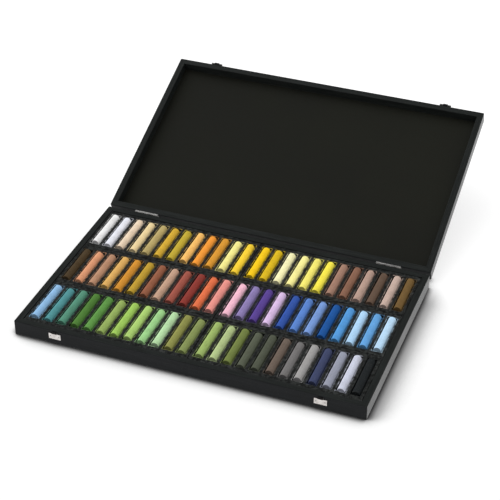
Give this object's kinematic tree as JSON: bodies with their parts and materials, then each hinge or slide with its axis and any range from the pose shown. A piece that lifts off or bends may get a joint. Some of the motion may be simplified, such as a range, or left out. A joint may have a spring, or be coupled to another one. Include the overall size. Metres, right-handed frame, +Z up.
{
  "type": "pastel case",
  "caption": "Flat black wooden case with a hinged lid, open, holding rows of round soft pastels in slotted black foam trays.",
  "frame": {"origin": "centre of the case's underside, on the surface it stands on", "axes": "+X to the right along the front, +Y towards the hinges at the back, +Z up"},
  "size_m": [0.435, 0.5222, 0.1155],
  "materials": {
    "black_wood": "satin black paint",
    "lid_board": "matte black paint",
    "black_foam": "matte foam",
    "pastel": "chalky, in many colours",
    "nickel": "satin nickel",
    "steel": "zinc plated"
  },
  "bodies": {
    "case": {"base_wall_front": "black_wood", "base_wall_right": "black_wood", "base_wall_back": "black_wood", "base_wall_left": "black_wood", "base_panel": "black_wood", "hinge_leaf_base_left": "nickel", "hinge_leaf_base_right": "nickel", "hinge_pin_left": "nickel", "hinge_pin_right": "nickel", "hinge_screws_base": "steel", "catch_plate_left": "nickel", "catch_plate_right": "nickel", "catch_nails": "steel"},
    "lid": {"lid_wall_front": "black_wood", "lid_wall_right": "black_wood", "lid_wall_back": "black_wood", "lid_wall_left": "black_wood", "lid_panel": "lid_board", "hinge_leaf_lid_left": "nickel", "hinge_leaf_lid_right": "nickel", "hinge_screws_lid": "steel", "latch_plate_left": "nickel", "latch_plate_right": "nickel", "latch_pin_left": "nickel", "latch_pin_right": "nickel", "latch_nails": "steel"},
    "lever_left": {"latch_lever_left": "nickel"},
    "lever_right": {"latch_lever_right": "nickel"},
    "tray_front_left": {"foam_tray_front_left": "black_foam", "foam_floor_front_left": "black_foam"},
    "tray_front_right": {"foam_tray_front_right": "black_foam", "foam_floor_front_right": "black_foam"},
    "tray_middle_left": {"foam_tray_middle_left": "black_foam", "foam_floor_middle_left": "black_foam"},
    "tray_middle_right": {"foam_tray_middle_right": "black_foam", "foam_floor_middle_right": "black_foam"},
    "tray_back_left": {"foam_tray_back_left": "black_foam", "foam_floor_back_left": "black_foam"},
    "tray_back_right": {"foam_tray_back_right": "black_foam", "foam_floor_back_right": "black_foam"},
    "sticks_front_left": {"pastels_front_left": "pastel"},
    "sticks_front_right": {"pastels_front_right": "pastel"},
    "sticks_middle_left": {"pastels_middle_left": "pastel"},
    "sticks_middle_right": {"pastels_middle_right": "pastel"},
    "sticks_back_left": {"pastels_back_left": "pastel"},
    "sticks_back_right": {"pastels_back_right": "pastel"}
  },
  "joints": [
    {"name": "lid_hinge", "type": "hinge", "parent": "case", "child": "lid", "pos_m": [0, 0.13375, 0.01905], "axis": [-1, 0, 0], "range_deg": [-159, 0]},
    {"name": "lever_left_swing", "type": "hinge", "parent": "lid", "child": "lever_left", "pos_m": [-0.164, 0.38441, 0.11361], "axis": [-1, 0, 0], "range_deg": [-180, 0]},
    {"name": "lever_right_swing", "type": "hinge", "parent": "lid", "child": "lever_right", "pos_m": [0.164, 0.38441, 0.11361], "axis": [-1, 0, 0], "range_deg": [-180, 0]},
    {"name": "tray_front_left_lift", "type": "slide", "parent": "case", "child": "tray_front_left", "axis": [0, 0, 1], "range_m": [0, 0.04]},
    {"name": "tray_front_right_lift", "type": "slide", "parent": "case", "child": "tray_front_right", "axis": [0, 0, 1], "range_m": [0, 0.04]},
    {"name": "tray_middle_left_lift", "type": "slide", "parent": "case", "child": "tray_middle_left", "axis": [0, 0, 1], "range_m": [0, 0.04]},
    {"name": "tray_middle_right_lift", "type": "slide", "parent": "case", "child": "tray_middle_right", "axis": [0, 0, 1], "range_m": [0, 0.04]},
    {"name": "tray_back_left_lift", "type": "slide", "parent": "case", "child": "tray_back_left", "axis": [0, 0, 1], "range_m": [0, 0.04]},
    {"name": "tray_back_right_lift", "type": "slide", "parent": "case", "child": "tray_back_right", "axis": [0, 0, 1], "range_m": [0, 0.04]},
    {"name": "sticks_front_left_lift", "type": "slide", "parent": "tray_front_left", "child": "sticks_front_left", "axis": [0, 0, 1], "range_m": [0, 0.03]},
    {"name": "sticks_front_right_lift", "type": "slide", "parent": "tray_front_right", "child": "sticks_front_right", "axis": [0, 0, 1], "range_m": [0, 0.03]},
    {"name": "sticks_middle_left_lift", "type": "slide", "parent": "tray_middle_left", "child": "sticks_middle_left", "axis": [0, 0, 1], "range_m": [0, 0.03]},
    {"name": "sticks_middle_right_lift", "type": "slide", "parent": "tray_middle_right", "child": "sticks_middle_right", "axis": [0, 0, 1], "range_m": [0, 0.03]},
    {"name": "sticks_back_left_lift", "type": "slide", "parent": "tray_back_left", "child": "sticks_back_left", "axis": [0, 0, 1], "range_m": [0, 0.03]},
    {"name": "sticks_back_right_lift", "type": "slide", "parent": "tray_back_right", "child": "sticks_back_right", "axis": [0, 0, 1], "range_m": [0, 0.03]}
  ]
}
